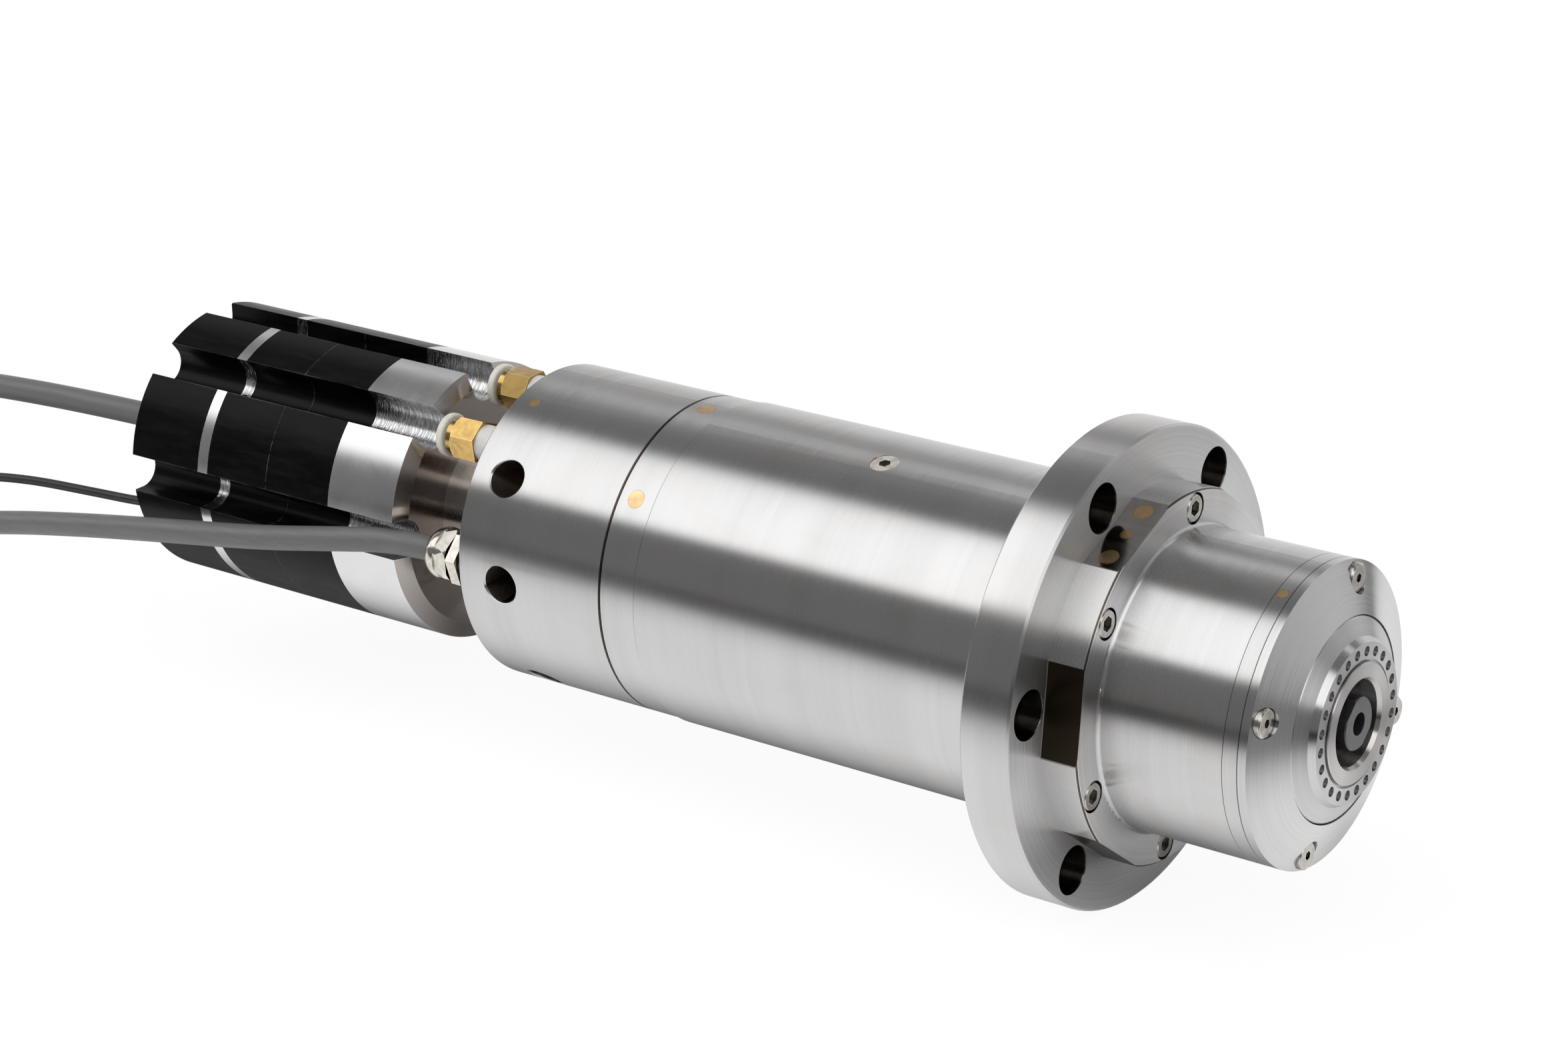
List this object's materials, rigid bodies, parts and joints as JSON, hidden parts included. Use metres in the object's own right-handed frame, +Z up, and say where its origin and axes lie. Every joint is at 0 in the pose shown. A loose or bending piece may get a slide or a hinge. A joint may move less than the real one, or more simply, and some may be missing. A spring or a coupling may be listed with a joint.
{
  "type": "motor spindle",
  "caption": "Water-cooled motor spindle with a round mounting flange, hollow-taper tool clamp, coolant fittings, cable leads and a pneumatic release cylinder.",
  "frame": {"origin": "on the spindle axis in the plane of the flange's rear face", "axes": "+X along the spindle axis towards the tool, +Z up as the spindle lies in the picture"},
  "size_m": [1.18, 0.17, 0.17],
  "materials": {
    "ground_steel": "turned and ground",
    "housing_steel": "turned, slightly heat-tinted",
    "shaft_steel": "ground",
    "bearing_steel": "polished",
    "screw_steel": "zinc plated with worn rims",
    "dark_steel": "black, oiled",
    "gripper_black": "hard coated, glossy",
    "laminated_iron": "stacked sheets",
    "coil_resin": "lacquered copper in resin",
    "silver_aluminium": "machined",
    "jacket_aluminium": "turned",
    "black_aluminium": "black anodised, satin",
    "brass": "drawn and turned",
    "nickel": "nickel plated",
    "white_plastic": "smooth",
    "white_tape": "wound",
    "rubber": "smooth",
    "cage_resin": "fabric filled",
    "grey_cable": "satin",
    "black_cable": "satin"
  },
  "bodies": {
    "spindle_housing": {"main_housing": "housing_steel", "cooling_sleeve": "jacket_aluminium", "jacket_seals": "rubber", "stator_core": "laminated_iron", "stator_windings": "coil_resin", "front_bearing_housing": "ground_steel", "step_ring_screws": "screw_steel", "nose_ring": "ground_steel", "front_cover": "ground_steel", "cover_screws": "screw_steel", "front_bearing_outer_rings": "bearing_steel", "rear_bearing_outer_ring": "bearing_steel", "rear_bearing_housing": "ground_steel", "preload_spring": "dark_steel", "rear_manifold": "housing_steel", "manifold_screws": "screw_steel", "brass_plugs": "brass", "housing_plug_screw": "nickel", "coolant_fittings": "brass", "fitting_thread_tape": "white_tape", "cable_gland_bodies": "nickel", "cable_gland_nuts": "nickel", "cable_gland_seals": "rubber", "cylinder_neck": "silver_aluminium", "cylinder_front_block": "silver_aluminium", "cylinder_front_stage": "black_aluminium", "cylinder_middle_stage": "black_aluminium", "cylinder_band_plate": "silver_aluminium", "cylinder_rear_cap": "black_aluminium", "cylinder_tie_bolts": "screw_steel", "position_sensor": "nickel", "signal_cable": "grey_cable", "power_cable": "grey_cable", "sensor_cable": "black_cable", "signal_cable_coil": "grey_cable", "power_cable_coil": "grey_cable", "signal_connector": "nickel", "power_connector": "nickel", "sensor_connector": "black_cable"},
    "shaft_rotor": {"shaft": "shaft_steel", "rotor_core": "laminated_iron", "balance_disc": "ground_steel", "lock_nuts": "dark_steel", "bearing_inner_rings": "bearing_steel", "disc_springs": "dark_steel"},
    "front_cage": {"front_bearing_balls": "bearing_steel", "front_bearing_cages": "cage_resin"},
    "rear_cage": {"rear_bearing_balls": "bearing_steel", "rear_bearing_cage": "cage_resin"},
    "drawbar_set": {"drawbar": "dark_steel", "drawbar_end_nut": "dark_steel"},
    "finger_1": {"gripper_finger_1": "gripper_black"},
    "finger_2": {"gripper_finger_2": "gripper_black"},
    "finger_3": {"gripper_finger_3": "gripper_black"},
    "finger_4": {"gripper_finger_4": "gripper_black"},
    "release_piston": {"release_rod": "shaft_steel", "release_pistons": "silver_aluminium"},
    "out_release_ring": {"coolant_out_release_ring": "white_plastic"},
    "in_release_ring": {"coolant_in_release_ring": "white_plastic"}
  },
  "joints": [
    {"name": "rotor_spin", "type": "hinge", "parent": "spindle_housing", "child": "shaft_rotor", "pos_m": [0, 0, 0], "axis": [1, 0, 0], "continuous": true},
    {"name": "front_cage_spin", "type": "hinge", "parent": "spindle_housing", "child": "front_cage", "pos_m": [0.062, 0, 0], "axis": [1, 0, 0], "continuous": true},
    {"name": "rear_cage_spin", "type": "hinge", "parent": "spindle_housing", "child": "rear_cage", "pos_m": [-0.169, 0, 0], "axis": [1, 0, 0], "continuous": true},
    {"name": "release_stroke", "type": "slide", "parent": "spindle_housing", "child": "release_piston", "axis": [1, 0, 0], "range_m": [0, 0.008], "stiffness_N_per_m": 400, "springref_m": -0.01},
    {"name": "drawbar_slide", "type": "slide", "parent": "shaft_rotor", "child": "drawbar_set", "axis": [1, 0, 0], "range_m": [0, 0.0072], "deforming": ["disc_springs"]},
    {"name": "finger_1_swing", "type": "hinge", "parent": "shaft_rotor", "child": "finger_1", "pos_m": [0.06, 0.00035, 0.00999], "axis": [0, 0.9994, -0.0349], "range_deg": [0, 3]},
    {"name": "finger_2_swing", "type": "hinge", "parent": "shaft_rotor", "child": "finger_2", "pos_m": [0.06, 0.00999, -0.00035], "axis": [0, -0.0349, -0.9994], "range_deg": [0, 3]},
    {"name": "finger_3_swing", "type": "hinge", "parent": "shaft_rotor", "child": "finger_3", "pos_m": [0.06, -0.00035, -0.00999], "axis": [0, -0.9994, 0.0349], "range_deg": [0, 3]},
    {"name": "finger_4_swing", "type": "hinge", "parent": "shaft_rotor", "child": "finger_4", "pos_m": [0.06, -0.00999, 0.00035], "axis": [0, 0.0349, 0.9994], "range_deg": [0, 3]},
    {"name": "out_ring_press", "type": "slide", "parent": "spindle_housing", "child": "out_release_ring", "axis": [1, 0, 0], "range_m": [0, 0.001], "stiffness_N_per_m": 600},
    {"name": "in_ring_press", "type": "slide", "parent": "spindle_housing", "child": "in_release_ring", "axis": [1, 0, 0], "range_m": [0, 0.001], "stiffness_N_per_m": 600}
  ],
  "couplings": [
    {"joint": "front_cage_spin", "follows": "rotor_spin", "ratio": 0.43},
    {"joint": "rear_cage_spin", "follows": "rotor_spin", "ratio": 0.42},
    {"joint": "drawbar_slide", "follows": "release_stroke", "ratio": 0.9},
    {"joint": "finger_1_swing", "follows": "release_stroke", "rad_per_m": 6.54},
    {"joint": "finger_2_swing", "follows": "release_stroke", "rad_per_m": 6.54},
    {"joint": "finger_3_swing", "follows": "release_stroke", "rad_per_m": 6.54},
    {"joint": "finger_4_swing", "follows": "release_stroke", "rad_per_m": 6.54}
  ]
}
